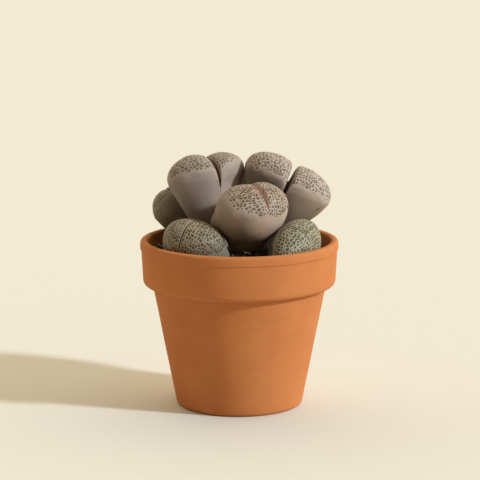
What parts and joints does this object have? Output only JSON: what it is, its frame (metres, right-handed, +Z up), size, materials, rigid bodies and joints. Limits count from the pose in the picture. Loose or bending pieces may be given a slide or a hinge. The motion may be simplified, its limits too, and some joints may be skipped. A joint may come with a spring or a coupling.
{
  "type": "potted split rock succulent",
  "caption": "Clump of fat-leaved split heads with dotted tops, standing in soil in a plain round terracotta pot with a banded rim.",
  "frame": {"origin": "centre of the pot's base, on the surface that it stands on", "axes": "+Z up along the pot's axis, -Y towards the picture's camera, +X to the picture's right"},
  "size_m": [0.108, 0.108, 0.137],
  "materials": {
    "terracotta": "bare fired clay, matt, with faint turning lines",
    "soil": "dark gritty potting mix",
    "skin": "matt waxy grey-mauve skin with olive dots on the tops",
    "skin_green": "matt waxy grey-green skin with olive dots all over"
  },
  "bodies": {
    "root": {"pot": "terracotta", "soil": "soil", "head_back_left": "skin", "head_back_right": "skin", "head_front": "skin", "head_left": "skin", "head_low_left": "skin", "head_low_right": "skin_green", "head_rear": "skin", "head_rear_right": "skin_green"}
  },
  "joints": []
}
